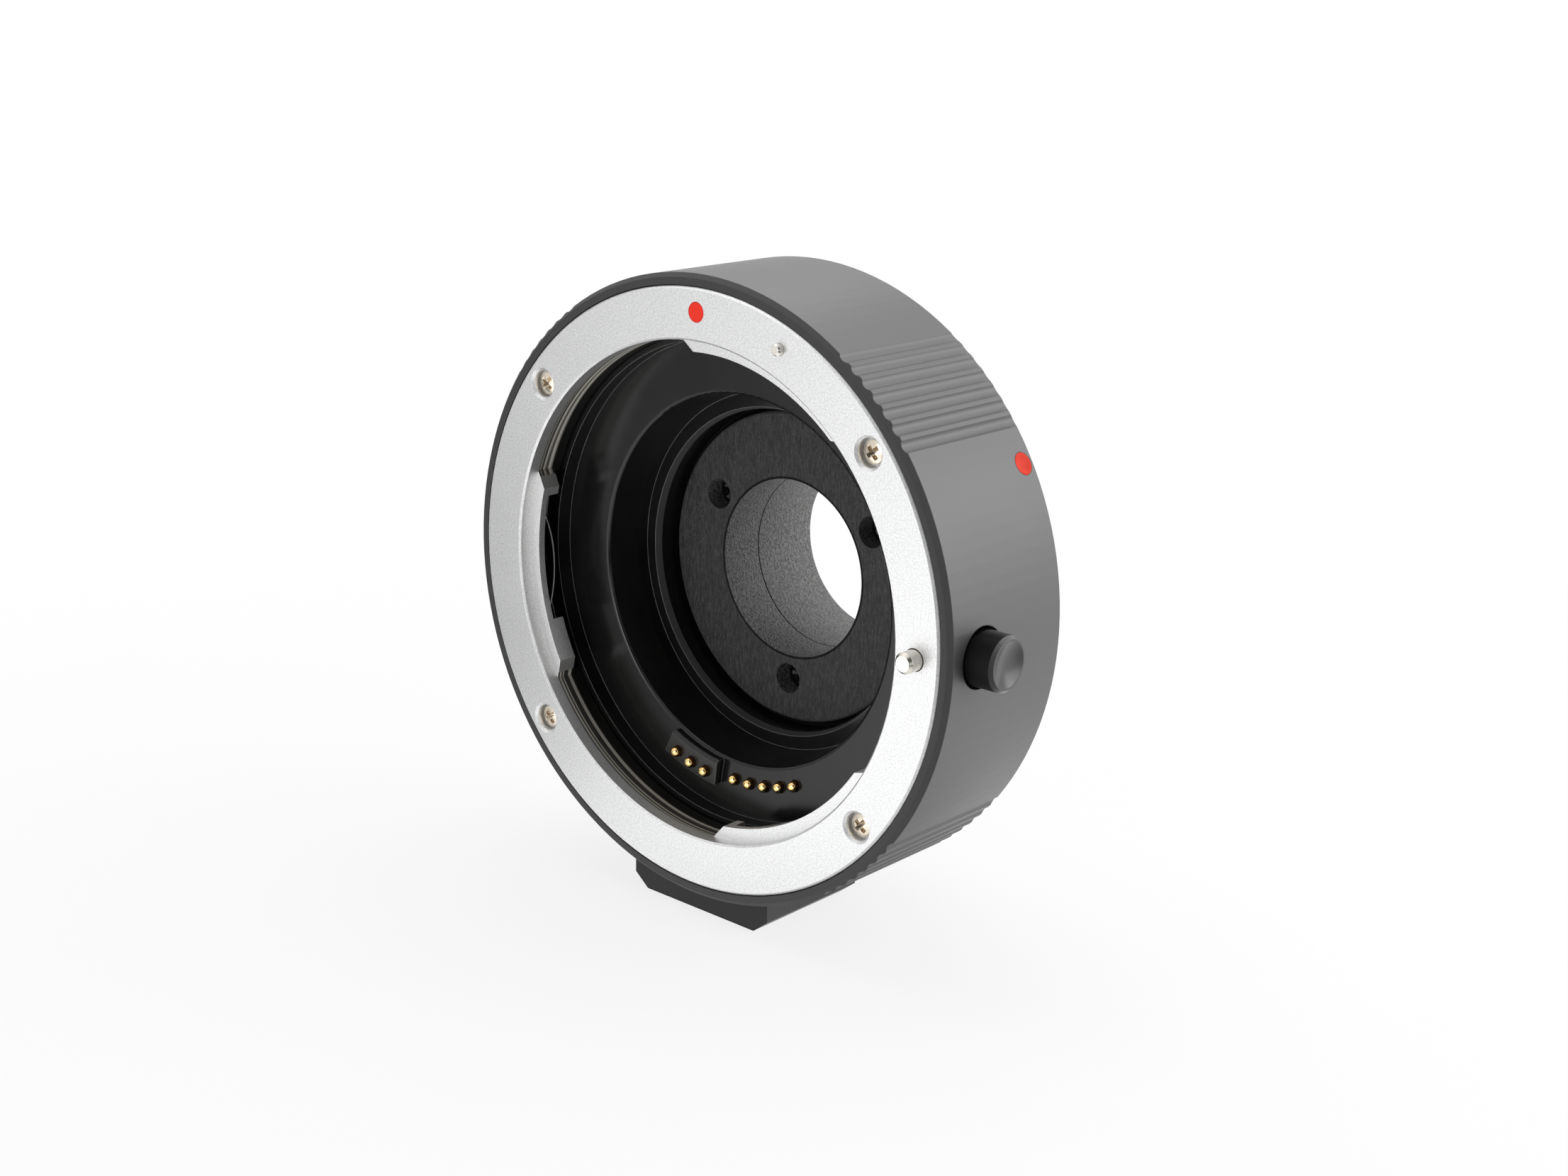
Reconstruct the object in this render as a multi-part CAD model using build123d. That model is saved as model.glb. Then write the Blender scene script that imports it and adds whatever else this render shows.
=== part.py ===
from build123d import *
from math import cos, degrees, radians, sin
import os

# Lens mount adapter. Millimetres; Y is the optical axis, the lens leaves along -Y, +Z is up.
# Angles are seen from the lens side: 0 is +X, 90 is up.

# Lens mount ring: throat, face and lugs
throat_r = 27.0
ring_w = 5.5
ring_t = 2.0
ring_edge = 0.25
throat_edge = 0.2
throat_step = 0.12
skirt_wall = 1.1
skirt_y = 5.0
lug_in = 1.4
lug_y0 = 1.6
lug_t = 2.3
lug_angles = ((44.5, 54.0), (160.0, 54.0), (273.1, 57.2))
lug_slant_angle = 4.3
notch_depth = 1.45
notch_start_angle = 6.5
notch_end_angle = 39.0
notch_relief = 0.2

# Leaf springs behind the lugs
leaf_mid_angle = 23.75
leaf_chord = 10.8
leaf_rise = 1.6
leaf_t = 0.2
leaf_side_gap = 0.12
leaf_foot = 0.24

# Screws of the lens ring and the small stop pin
ring_screw_out = 0.25
ring_screw_angles = (40.0, 140.0, 220.0, 320.0)
ring_recess_r = 1.5
ring_recess_edge = 0.28
ring_head_r = 1.22
ring_head_h = 0.8
ring_head_depth = 0.55
stop_pin_r = 0.6
stop_pin_angle = 67.7
stop_pin_out = 0.7
stop_pin_in = 1.6
stop_pin_edge = 0.15

# Fasteners, fits, how far joined forms run into each other and how far cuts run past a face
thread_r = 0.85
fit_gap = 0.02
clear_gap = 0.1
root = 0.5
over = 1.0
head_dome_ratio = 0.2
cross_w = 0.5
cross_depth = 0.9
cross_reach_ratio = 0.8
cap_head_r = 1.5
cap_head_h = 0.9

# Barrel
barrel_rim = 1.33
barrel_y0 = 0.15
barrel_len = 18.185
barrel_wall = 1.63
front_chamfer = 0.48
rear_chamfer = 0.2
rim_gap = 0.1
shelf_t = 2.8
shelf_gap = 0.1
rib_angles = (46.4, 133.6, 226.4, 313.6)
rib_count = 7
rib_pitch_angle = 3.05
rib_cut_r = 1.3
rib_depth = 0.2
rear_boss_r = 2.6
rear_boss_len = 4.0

# Index dots
lens_dot_r = 1.05
camera_dot_r = 1.2
camera_dot_angle = 29.6
camera_dot_inset = 1.7
camera_dot_rim = 0.15
camera_dot_dish = 0.16
dot_depth = 0.3

# Release button, lock pin and spring
button_back = 3.29
button_r = 2.9
button_out = 3.11
button_in = 1.2
button_gap = 0.3
button_dish_rim = 0.55
button_dish = 0.55
button_edge = 0.35
lip_out = 0.55
lip_t = 0.7
lip_half = 1.9
travel = 1.8
pin_pcd_drop = 0.5
pin_r = 1.1
pin_out = 1.8
pin_gap = 0.08
pin_side_gap = 0.35
pin_edge = 0.3
ramp_from = 0.71
ramp_gap = 0.2
yoke_in = 1.3
yoke_out = 2.2
yoke_front = 0.35
yoke_t = 3.25
yoke_half = 2.75
tail_r = 0.75
tail_in = 1.0
guide_out = 2.4
guide_r = 2.2
lock_coil_r = 1.25
lock_wire_r = 0.15
lock_turn_count = 5

# Inner liner: each radius steps in from the throat and each depth back from the ring's skirt
liner_gap = 0.3
liner_wall = 1.0
cup_inset = 0.55
cup_depth = 1.85
floor_w = 6.05
floor_dip = 0.35
floor_t = 1.5
mouth_round = 0.45
draft = 0.52
tube_len = 5.63
tube_foot = 1.57
ledge_w = 1.61
ledge_rise = 0.36
bevel_w = 0.32
bevel_len = 0.88
liner_boss_r = 1.7
liner_boss_out = 1.5
liner_boss_angles = (90.0, 210.0, 330.0)
liner_seat = 2.5

# Contacts: three pins on the raised block, five beside it
contact_from_mouth = 2.16
contact_pitch = 2.2247
high_start_angle = -111.1
low_start_angle = -90.9
high_count = 3
low_count = 5
pin_stand = 0.85
low_pin_stand = 0.6
block_rise = 0.85
block_in = 1.81
block_out = 1.09
block_angles = (-115.2, -95.9)
block_edge = 0.35
contact_r = 0.62
contact_flat_r = 0.12
contact_gap = 0.07
contact_foot_out = 0.12
contact_foot_t = 1.05
sleeve_len = 3.95
sleeve_t = 0.19
sleeve_floor = 0.3
coil_r = 0.5
coil_wire_r = 0.08
coil_turn_count = 5
board_out = 2.0
board_t = 1.0
board_rim = 0.8
board_angles = (-118.0, -62.0)
chip_size = 4.0
chip_t = 0.9
chip_gap = 0.64
chip_angle = -78.0

# Baffles with the light bore
bore_r = 10.0
disc_gap = 0.58
disc_back = 1.9
disc_t = 5.55
seam_gap = 0.15
disc_edge = 0.2
baffle_hole_in = 2.75
baffle_angles = (29.4, 149.4, 269.4)
baffle_recess = 3.05
baffle_head_r = 1.6
baffle_head_gap = 0.12
baffle_head_h = 1.2
baffle_thread = 6.0
nose_wall = 1.6
nose_out = 0.5

# Rear housing
plate_t = 1.935
plate_gap = 0.05
web_rim = 1.0
web_t = 1.8
shoulder_w = 4.6
neck_taper = 0.7
shell_t = 1.6
back_t = 2.0
post_wall = 1.0
rear_screw_angles = (45.0, 135.0, 225.0, 315.0)

# Camera mount: the register is the distance between the two flanges
register = 27.0
flange_t = 1.6
spigot_r0 = 17.0
spigot_wall = 1.3
spigot_out = 2.8
camera_lug_out = 1.6
camera_lug_t = 1.4
camera_lug_angles = ((20.0, 52.0), (140.0, 52.0), (260.0, 52.0))
camera_screw_out = 0.3
camera_screw_angles = (45.0, 135.0, 225.0, 315.0)
camera_thread = 3.5
camera_head_sink = 0.1
flange_relief = 0.4
flange_relief_gap = 0.3
lock_notch_r = 1.5
lock_notch_depth = 1.0
lock_notch_in = 2.5
lock_notch_angle = 180.0

# Rear contacts and the flexible cable to them
rear_block_gap = 0.6
rear_block_w = 3.5
rear_block_t = 2.6
rear_block_angles = (-113.0, -67.0)
rear_block_ease_angle = 0.5
pad_count = 10
pad_pitch = 1.074
pad_w = 0.767
pad_t = 0.2
pad_margin = 0.7
flex_half = 2.2
flex_t = 0.16
flex_gap = 0.3
flex_in = 2.2

# Tripod foot
foot_y0 = 1.5
foot_len = 14.7
foot_drop = 2.27
foot_half = 8.0
foot_flare = 1.9
foot_flare_h = 1.5
bush_r = 4.5
bush_flange_w = 1.1
bush_flange_t = 1.7
seat_sink = 0.1
screw_sink = 0.3
tripod_r = 2.55
tripod_cap = 0.5
foot_screw_gap = 0.3
foot_screw_len = 3.2

# Sizes that follow from those above
ring_r = throat_r + ring_w
ring_screw_pcd_r = (throat_r + ring_r) / 2 + ring_screw_out
skirt_r = throat_r + skirt_wall
lug_r = throat_r - lug_in
lug_y1 = lug_y0 + lug_t
notch_y = lug_y1 - notch_depth
barrel_r = ring_r + barrel_rim
barrel_y1 = barrel_y0 + barrel_len
inner_r = barrel_r - barrel_wall
shelf_y = ring_t + shelf_t
camera_dot_y = barrel_y1 - camera_dot_inset
camera_dot_dish_r = camera_dot_r - camera_dot_rim
camera_dot_bowl_r = (camera_dot_dish_r ** 2 + camera_dot_dish ** 2) / (2 * camera_dot_dish)
button_y = ring_t + button_back
button_top = barrel_r + button_out
button_foot = inner_r - button_in
button_dish_r = button_r - button_dish_rim
button_bowl_r = (button_dish_r ** 2 + button_dish ** 2) / (2 * button_dish)
lip_r = button_r + lip_out
shelf_cut_z = lip_r + 2 * button_gap
pin_x = ring_screw_pcd_r - pin_pcd_drop
ramp_y = button_y + ramp_from
yoke_y0 = ramp_y + yoke_front
yoke_y1 = yoke_y0 + yoke_t
cup_r = throat_r - cup_inset
mouth_r = cup_r - floor_w
step_r = mouth_r - draft
ledge_r = step_r - ledge_w
well_r = ledge_r - bevel_w
liner_r = cup_r + liner_wall
tube_r = mouth_r + liner_wall
liner_boss_pcd_r = tube_r + liner_boss_out
liner_y0 = skirt_y + liner_gap
cup_y = liner_y0 + cup_depth
mouth_y = cup_y + floor_dip
floor_back = mouth_y + floor_t
step_y = mouth_y + tube_len
tube_back = step_y + tube_foot
ledge_y = step_y - ledge_rise
well_y = ledge_y + bevel_len
block_y = cup_y - block_rise
high_tip = block_y - pin_stand
low_tip = cup_y - low_pin_stand
contact_pcd_r = mouth_r + contact_from_mouth
contact_step_angle = degrees(contact_pitch / contact_pcd_r)
block_r0 = contact_pcd_r - block_in
block_r1 = contact_pcd_r + block_out
contact_foot_r = contact_r + contact_foot_out
sleeve_r = contact_foot_r + contact_gap + sleeve_t
sleeve_y0 = floor_back + fit_gap
sleeve_y1 = sleeve_y0 + sleeve_len
contact_foot_y0 = sleeve_y0 + clear_gap
contact_foot_y1 = contact_foot_y0 + contact_foot_t
board_y0 = floor_back + board_out
board_y1 = board_y0 + board_t
board_r0 = tube_r + liner_gap
chip_pcd_r = contact_pcd_r + sleeve_r + chip_gap + chip_size / 2
board_r1 = chip_pcd_r + chip_size / 2 + board_rim
disc_r = well_r - disc_gap
disc_y0 = well_y + disc_back
seam_y = disc_y0 + disc_t
baffle_pcd_r = bore_r + baffle_hole_in
baffle_recess_r = baffle_head_r + baffle_head_gap
baffle_seat_y = disc_y0 + baffle_recess
nose_r = bore_r + nose_wall
web_r = baffle_pcd_r + thread_r + web_rim
web_y1 = seam_y + web_t
plate_y0 = barrel_y1 - plate_t
plate_r = inner_r - plate_gap
neck_r0 = inner_r - shoulder_w
neck_r1 = neck_r0 - neck_taper
rear_screw_pcd_r = neck_r0 + shoulder_w / 2
rear_boss_y0 = plate_y0 - rear_boss_len
guide_y = plate_y0 - guide_out
tail_y = guide_y + tail_in
liner_seat_y = plate_y0 + liner_seat
neck_y1 = register - flange_t
spigot_r1 = spigot_r0 + spigot_wall
spigot_y = register + spigot_out
camera_lug_r = spigot_r1 + camera_lug_out
camera_screw_pcd_r = (spigot_r1 + neck_r1) / 2 + camera_screw_out
lock_notch_pcd_r = neck_r1 - lock_notch_in
rear_end_y = spigot_y + nose_out - clear_gap
rear_block_r1 = spigot_r0 - rear_block_gap
rear_block_r0 = rear_block_r1 - rear_block_w
rear_block_y0 = spigot_y - rear_block_t
flex_r = board_r0 + flex_in
flex_end_r = (rear_block_r0 + rear_block_r1) / 2
pad_pitch_angle = degrees(pad_pitch / flex_end_r)
pad_span_angle = degrees(pad_w / flex_end_r)
flex_turn_y = neck_y1 - flex_gap - flex_t
foot_y1 = foot_y0 + foot_len
foot_mid_y = foot_y0 + foot_len / 2
foot_z = -(barrel_r + foot_drop)
foot_side = foot_half + foot_flare
foot_side_z = foot_z + foot_flare_h
bush_flange_r = bush_r + bush_flange_w
bush_seat_z = -(inner_r + seat_sink)
bush_top_z = bush_seat_z + bush_flange_t
foot_screw_x = bush_flange_r + foot_screw_gap + cap_head_r
foot_screw_seat_z = bush_seat_z + seat_sink + screw_sink

BASE = (Align.CENTER, Align.CENTER, Align.MIN)


# Turned, round and arc-shaped helpers
def cyl_y(r, y0, y1, x=0.0, z=0.0):
    return Pos(x, y0, z) * Rot(-90, 0, 0) * Cylinder(r, y1 - y0, align=BASE)


def cyl_x(r, x0, x1, y=0.0, z=0.0):
    return Pos(x0, y, z) * Rot(0, 90, 0) * Cylinder(r, x1 - x0, align=BASE)


def cyl_z(r, z0, z1, x=0.0, y=0.0):
    return Pos(x, y, z0) * Cylinder(r, z1 - z0, align=BASE)


def block(x0, x1, y0, y1, z0, z1):
    return Pos(x0, y0, z0) * Box(x1 - x0, y1 - y0, z1 - z0, align=(Align.MIN,) * 3)


def turned(*points):
    return revolve(make_face(Polyline(*points, close=True)), Axis.Y)


def round_corner(face, corner, radius):
    return fillet(face.vertices().sort_by_distance(corner)[0], radius)


def at(angle, shape):
    return Rot(0, -angle, 0) * shape


def around(angles, shape):
    return [at(angle, shape) for angle in angles]


def polar(r, angle):
    return r * cos(radians(angle)), r * sin(radians(angle))


def sector(r0, r1, a0, a1, slant=0.0):
    mid = (a0 + a1) / 2
    inner = ThreePointArc(polar(r0, a0 + slant), polar(r0, mid), polar(r0, a1 - slant))
    outer = ThreePointArc(polar(r1, a0), polar(r1, mid), polar(r1, a1))
    return make_face([inner, outer, Line(inner @ 0, outer @ 0), Line(inner @ 1, outer @ 1)])


def slab(face, y0, y1):
    return Pos(0, y1, 0) * extrude(Plane.XZ * face, y1 - y0)


def coil(mean_r, wire_r, turns, length):
    height = length - 2 * wire_r
    path = Helix(pitch=height / turns, height=height, radius=mean_r)
    wire = sweep(Plane(origin=path @ 0, z_dir=path % 0) * Circle(wire_r), path=path, is_frenet=True)
    return Rot(-90, 0, 0) * (Pos(0, 0, wire_r) * wire)


# A domed cross-head screw whose head top is at y = 0 and whose thread runs along +Y
def screw(head_r, head_h, length):
    dome = TangentArc((0, 0), (head_r, head_dome_ratio * head_r), tangent=(1, 0))
    rest = Polyline(dome @ 1, (head_r, head_h), (thread_r, head_h), (thread_r, head_h + length),
                    (0, head_h + length), (0, 0))
    arm = cross_reach_ratio * head_r
    half = cross_w / 2
    cross = block(-arm, arm, 0, cross_depth, -half, half) + block(-half, half, 0, cross_depth, -arm, arm)
    return revolve(make_face([dome, rest]), Axis.Y) - (cross & turned((0, 0), (arm, 0), (0, cross_depth)))


def backwards(shape, y):
    return Pos(0, y, 0) * (Rot(0, 0, 180) * shape)


# A round recess with an eased mouth, sunk from y = 0
def recess(r, edge, depth):
    return turned((0, -over), (r + edge + over, -over), (r, edge), (r, depth), (0, depth))


# Lens mount ring with its lugs
def make_lens_mount_ring():
    body = turned((throat_r, throat_edge), (throat_r + throat_edge, 0), (ring_r - ring_edge, 0),
                  (ring_r, ring_edge), (ring_r, ring_t), (skirt_r, ring_t), (skirt_r, skirt_y),
                  (throat_r + throat_step, skirt_y), (throat_r + throat_step, lug_y0), (throat_r, lug_y0))
    for start, span in lug_angles:
        body += slab(sector(lug_r, throat_r + root, start, start + span, lug_slant_angle), lug_y0, lug_y1)
    for start, span in lug_angles:
        arc = (start + notch_start_angle, start + notch_end_angle)
        notch = sector(lug_r - over, throat_r + notch_relief, *arc)
        body -= slab(notch, notch_y, lug_y1 + notch_relief)
    seat_y = ring_head_depth + ring_head_h
    cuts = [cyl_y(pin_r + pin_gap, -over, ring_t + over, x=pin_x),
            at(90, cyl_y(lens_dot_r + fit_gap, -over, dot_depth, x=ring_screw_pcd_r)),
            at(stop_pin_angle, cyl_y(stop_pin_r + fit_gap, -over, stop_pin_in, x=ring_screw_pcd_r))]
    seat = Pos(ring_screw_pcd_r, 0, 0) * recess(ring_recess_r, ring_recess_edge, seat_y)
    cuts += around(ring_screw_angles, seat)
    hole = cyl_y(thread_r + clear_gap, -over, ring_t + over, x=ring_screw_pcd_r)
    return body - cuts - around(ring_screw_angles, hole)


def make_lens_mount_screws():
    one = Pos(ring_screw_pcd_r, ring_head_depth, 0) * screw(ring_head_r, ring_head_h, shelf_t)
    return around(ring_screw_angles, one)


# Bowed strips that lie in the notches behind the lugs
def make_leaf_springs():
    half = leaf_chord / 2
    outer = ThreePointArc((-half, notch_y), (0, notch_y + leaf_rise), (half, notch_y))
    end = half - leaf_foot
    inner = ThreePointArc((-end, notch_y), (0, notch_y + leaf_rise - leaf_t), (end, notch_y))
    bow = make_face([outer, inner, Line(outer @ 0, inner @ 0), Line(outer @ 1, inner @ 1)])
    strip = Rot(0, 90, 0) * (Pos(0, 0, lug_r - over) * extrude(bow, skirt_r - lug_r + over))
    band = cyl_y(throat_r - leaf_side_gap, 0, skirt_y) - cyl_y(lug_r + leaf_side_gap, 0, skirt_y)
    return [at(start + leaf_mid_angle, strip & band) for start, span in lug_angles]


def make_ring_stop_pin():
    pin = cyl_y(stop_pin_r, -stop_pin_out, stop_pin_in, x=ring_screw_pcd_r)
    return at(stop_pin_angle, chamfer(pin.edges().group_by(Axis.Y)[0], stop_pin_edge))


# Red index dots: one flush with the ring, one dished in the barrel
def make_lens_index_dot():
    return at(90, cyl_y(lens_dot_r, fit_gap, dot_depth, x=ring_screw_pcd_r))


def make_camera_index_dot():
    plug = cyl_x(camera_dot_r, barrel_r - dot_depth, barrel_r, y=camera_dot_y)
    bowl = Pos(barrel_r - camera_dot_dish + camera_dot_bowl_r, camera_dot_y, 0) * Sphere(camera_dot_bowl_r)
    return at(camera_dot_angle, plug & cyl_y(barrel_r, barrel_y0, barrel_y1)) - at(camera_dot_angle, bowl)


# Barrel: shell, shelf behind the lens ring, grip grooves, rear bosses and the seats of the foot
def rib_grooves():
    centre_r = barrel_r + rib_cut_r - rib_depth
    groove = cyl_y(rib_cut_r, barrel_y0 - over, barrel_y1 + over, x=centre_r)
    first = -(rib_count - 1) / 2
    steps = [(first + i) * rib_pitch_angle for i in range(rib_count)]
    return [at(patch + step, groove) for patch in rib_angles for step in steps]


def make_barrel():
    rim_r = ring_r + rim_gap
    body = turned((rim_r, barrel_y0), (barrel_r - front_chamfer, barrel_y0),
                  (barrel_r, barrel_y0 + front_chamfer), (barrel_r, barrel_y1 - rear_chamfer),
                  (barrel_r - rear_chamfer, barrel_y1), (inner_r, barrel_y1), (inner_r, shelf_y),
                  (skirt_r + shelf_gap, shelf_y), (skirt_r + shelf_gap, ring_t), (rim_r, ring_t))
    inside = cyl_y(inner_r + barrel_wall / 2, barrel_y0, barrel_y1)
    for boss in around(rear_screw_angles, cyl_y(rear_boss_r, rear_boss_y0, plate_y0, x=rear_screw_pcd_r)):
        body += boss & inside
    gap = block(skirt_r - over, barrel_r, ring_t, shelf_y, -shelf_cut_z, shelf_cut_z)
    dot_hole = cyl_x(camera_dot_r + fit_gap, barrel_r - dot_depth, barrel_r + over, y=camera_dot_y)
    cuts = [cyl_x(button_r + button_gap, button_foot, barrel_r + over, y=button_y),
            gap & cyl_y(inner_r, ring_t, shelf_y + over),
            at(camera_dot_angle, dot_hole),
            cyl_z(bush_r + clear_gap, -barrel_r - over, bush_seat_z, y=foot_mid_y),
            cyl_z(bush_flange_r + clear_gap, bush_seat_z, -inner_r / 2, y=foot_mid_y)]
    for x in (-foot_screw_x, foot_screw_x):
        cuts += [cyl_z(thread_r + clear_gap, -barrel_r - over, foot_screw_seat_z, x, foot_mid_y),
                 cyl_z(cap_head_r + clear_gap, foot_screw_seat_z, -inner_r / 2, x, foot_mid_y)]
    hole = cyl_y(thread_r + fit_gap, ring_t - over, shelf_y + over, x=ring_screw_pcd_r)
    cuts += around(ring_screw_angles, hole)
    hole = cyl_y(thread_r + fit_gap, rear_boss_y0 + root, plate_y0 + over, x=rear_screw_pcd_r)
    cuts += around(rear_screw_angles, hole)
    return body - cuts - rib_grooves()


# Tripod foot, its threaded bush and the two screws from inside the barrel
def make_tripod_foot():
    top = -inner_r / 2
    outline = Polyline((-foot_half, foot_z), (foot_half, foot_z), (foot_side, foot_side_z),
                       (foot_side, top), (-foot_side, top), (-foot_side, foot_side_z), close=True)
    body = slab(make_face(outline), foot_y0, foot_y1) - cyl_y(barrel_r, 0, barrel_y1)
    holes = [cyl_z(bush_r + fit_gap, foot_z - over, 0, y=foot_mid_y)]
    for x in (-foot_screw_x, foot_screw_x):
        tip_z = foot_screw_seat_z - foot_screw_len - clear_gap
        holes.append(cyl_z(thread_r + fit_gap, tip_z, 0, x, foot_mid_y))
    return body - holes


def make_tripod_bush():
    body = cyl_z(bush_r, foot_z, bush_seat_z, y=foot_mid_y)
    body += cyl_z(bush_flange_r, bush_seat_z, bush_top_z, y=foot_mid_y)
    return body - cyl_z(tripod_r, foot_z - over, bush_top_z - tripod_cap, y=foot_mid_y)


def make_foot_screws():
    one = Rot(-90, 0, 0) * screw(cap_head_r, cap_head_h, foot_screw_len)
    top_z = foot_screw_seat_z + cap_head_h
    return [Pos(x, foot_mid_y, top_z) * one for x in (-foot_screw_x, foot_screw_x)]


# Release button: a dished cap on two legs that straddle the lock pin, each leg with a 45 degree ramp
def ramp_side(offset):
    far = 20.0
    corner = (button_foot, ramp_y + offset)
    face = make_face(Polyline((corner[0] - far, corner[1] - far), (corner[0] + far, corner[1] + far),
                              (corner[0] - far, corner[1] + far), close=True))
    return Pos(0, 0, -far) * extrude(face, 2 * far)


def make_release_button():
    body = cyl_x(button_r, button_foot, button_top, y=button_y)
    body = chamfer(body.edges().group_by(Axis.X)[-1], button_edge)
    lip = cyl_x(lip_r, button_foot, button_foot + lip_t, y=button_y)
    body += lip & block(0, barrel_r, button_y - lip_half, button_y + lip_half, -lip_r, lip_r)
    slot_half = pin_r + pin_side_gap
    slot_top = pin_x + pin_r + travel + button_gap
    slot = block(0, slot_top, -travel, button_y + 2 * button_r, -slot_half, slot_half)
    dish = Pos(button_top - button_dish + button_bowl_r, button_y, 0) * Sphere(button_bowl_r)
    return body - [slot, dish, ramp_side(0)]


# Lock pin in one piece with its ramped yoke and the tail that carries the spring
def make_lock_pin():
    shaft = cyl_y(pin_r, -pin_out, yoke_y0, x=pin_x)
    shaft = chamfer(shaft.edges().group_by(Axis.Y)[0], pin_edge)
    yoke = block(pin_x - yoke_in, pin_x + yoke_out, yoke_y0, yoke_y1, -yoke_half, yoke_half)
    yoke = yoke & ramp_side(ramp_gap)
    return shaft + yoke + cyl_y(tail_r, yoke_y1, tail_y, x=pin_x)


def make_lock_spring():
    return Pos(pin_x, yoke_y1, 0) * coil(lock_coil_r, lock_wire_r, lock_turn_count, guide_y - yoke_y1)


# Inner liner: cup, mouth, drafted tube and bevelled well, with the raised contact block
def contact_places():
    high = [(high_start_angle + i * contact_step_angle, high_tip) for i in range(high_count)]
    low = [(low_start_angle + i * contact_step_angle, low_tip) for i in range(low_count)]
    return high + low


def contact_angles():
    return [angle for angle, tip in contact_places()]


def make_inner_liner():
    well_out_r = well_r + liner_wall
    half = make_face(Polyline(
        (cup_r, liner_y0), (cup_r, cup_y), (mouth_r, mouth_y), (step_r, step_y), (ledge_r, ledge_y),
        (well_r, well_y), (well_r, plate_y0), (well_out_r, plate_y0), (well_out_r, tube_back),
        (tube_r, tube_back), (tube_r, floor_back), (liner_r, floor_back), (liner_r, liner_y0),
        close=True))
    body = revolve(round_corner(half, (mouth_r, mouth_y, 0), mouth_round), Axis.Y)
    raised = slab(sector(block_r0, block_r1, *block_angles), block_y, floor_back)
    edges = raised.edges().filter_by(GeomType.CIRCLE).group_by(Axis.Y)[0]
    body += chamfer(edges.sort_by(SortBy.LENGTH)[0], block_edge)
    body += around(liner_boss_angles, cyl_y(liner_boss_r, floor_back - root, plate_y0, x=liner_boss_pcd_r))
    pin_hole = cyl_y(contact_r + contact_gap, 0, floor_back + over, x=contact_pcd_r)
    screw_hole = cyl_y(thread_r + fit_gap, floor_back + over, plate_y0 + over, x=liner_boss_pcd_r)
    return body - around(contact_angles(), pin_hole) - around(liner_boss_angles, screw_hole)


# Sprung contact pins, their sleeves and springs
def make_contact_pin(angle, tip):
    dome_r = contact_r - contact_flat_r
    dome = RadiusArc((contact_flat_r, tip), (contact_r, tip + dome_r), -dome_r)
    rest = Polyline((contact_r, tip + dome_r), (contact_r, contact_foot_y0),
                    (contact_foot_r, contact_foot_y0), (contact_foot_r, contact_foot_y1),
                    (0, contact_foot_y1), (0, tip), (contact_flat_r, tip))
    return at(angle, Pos(contact_pcd_r, 0, 0) * revolve(make_face([dome, rest]), Axis.Y))


def make_pin_sleeves():
    one = cyl_y(sleeve_r, sleeve_y0, sleeve_y1, x=contact_pcd_r)
    hole_r = contact_foot_r + contact_gap
    one -= cyl_y(hole_r, sleeve_y0 - over, sleeve_y1 - sleeve_floor, x=contact_pcd_r)
    return around(contact_angles(), one)


def make_pin_spring(angle):
    length = sleeve_y1 - sleeve_floor - contact_foot_y1
    spring = coil(coil_r, coil_wire_r, coil_turn_count, length)
    return at(angle, Pos(contact_pcd_r, contact_foot_y1, 0) * spring)


def make_circuit_board():
    body = slab(sector(board_r0, board_r1, *board_angles), board_y0, board_y1)
    hole = cyl_y(sleeve_r + fit_gap, board_y0 - over, board_y1 + over, x=contact_pcd_r)
    return body - around(contact_angles(), hole)


def make_controller_chip():
    half = chip_size / 2
    chip = block(chip_pcd_r - half, chip_pcd_r + half, board_y1, board_y1 + chip_t, -half, half)
    return at(chip_angle, chip)


# Front and rear baffles, which meet at the seam in the light bore
def make_front_baffle():
    body = turned((bore_r, disc_y0), (disc_r - disc_edge, disc_y0), (disc_r, disc_y0 + disc_edge),
                  (disc_r, seam_y), (bore_r, seam_y))
    recess = cyl_y(baffle_recess_r, 0, baffle_seat_y, x=baffle_pcd_r)
    hole = cyl_y(thread_r + clear_gap, 0, seam_y + over, x=baffle_pcd_r)
    return body - around(baffle_angles, recess) - around(baffle_angles, hole)


def make_baffle_screws():
    one = screw(baffle_head_r, baffle_head_h, baffle_thread)
    one = Pos(baffle_pcd_r, baffle_seat_y - baffle_head_h, 0) * one
    return around(baffle_angles, one)


def make_rear_baffle():
    y0 = seam_y + seam_gap
    neck_in_r = web_r - plate_gap
    body_r = spigot_r0 - plate_gap
    back_y = rear_end_y - nose_out
    body = turned((bore_r, y0), (neck_in_r, y0), (neck_in_r, web_y1), (body_r, web_y1), (body_r, back_y),
                  (nose_r, back_y), (nose_r, rear_end_y), (bore_r, rear_end_y))
    tip_y = baffle_seat_y + baffle_thread + clear_gap
    cuts = around(baffle_angles, cyl_y(thread_r + fit_gap, 0, tip_y, x=baffle_pcd_r))
    pocket = sector(rear_block_r0 - clear_gap, spigot_r0 + over, *rear_block_angles)
    cuts.append(slab(pocket, rear_block_y0, rear_end_y + over))
    return body - cuts - flex_channels()


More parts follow.
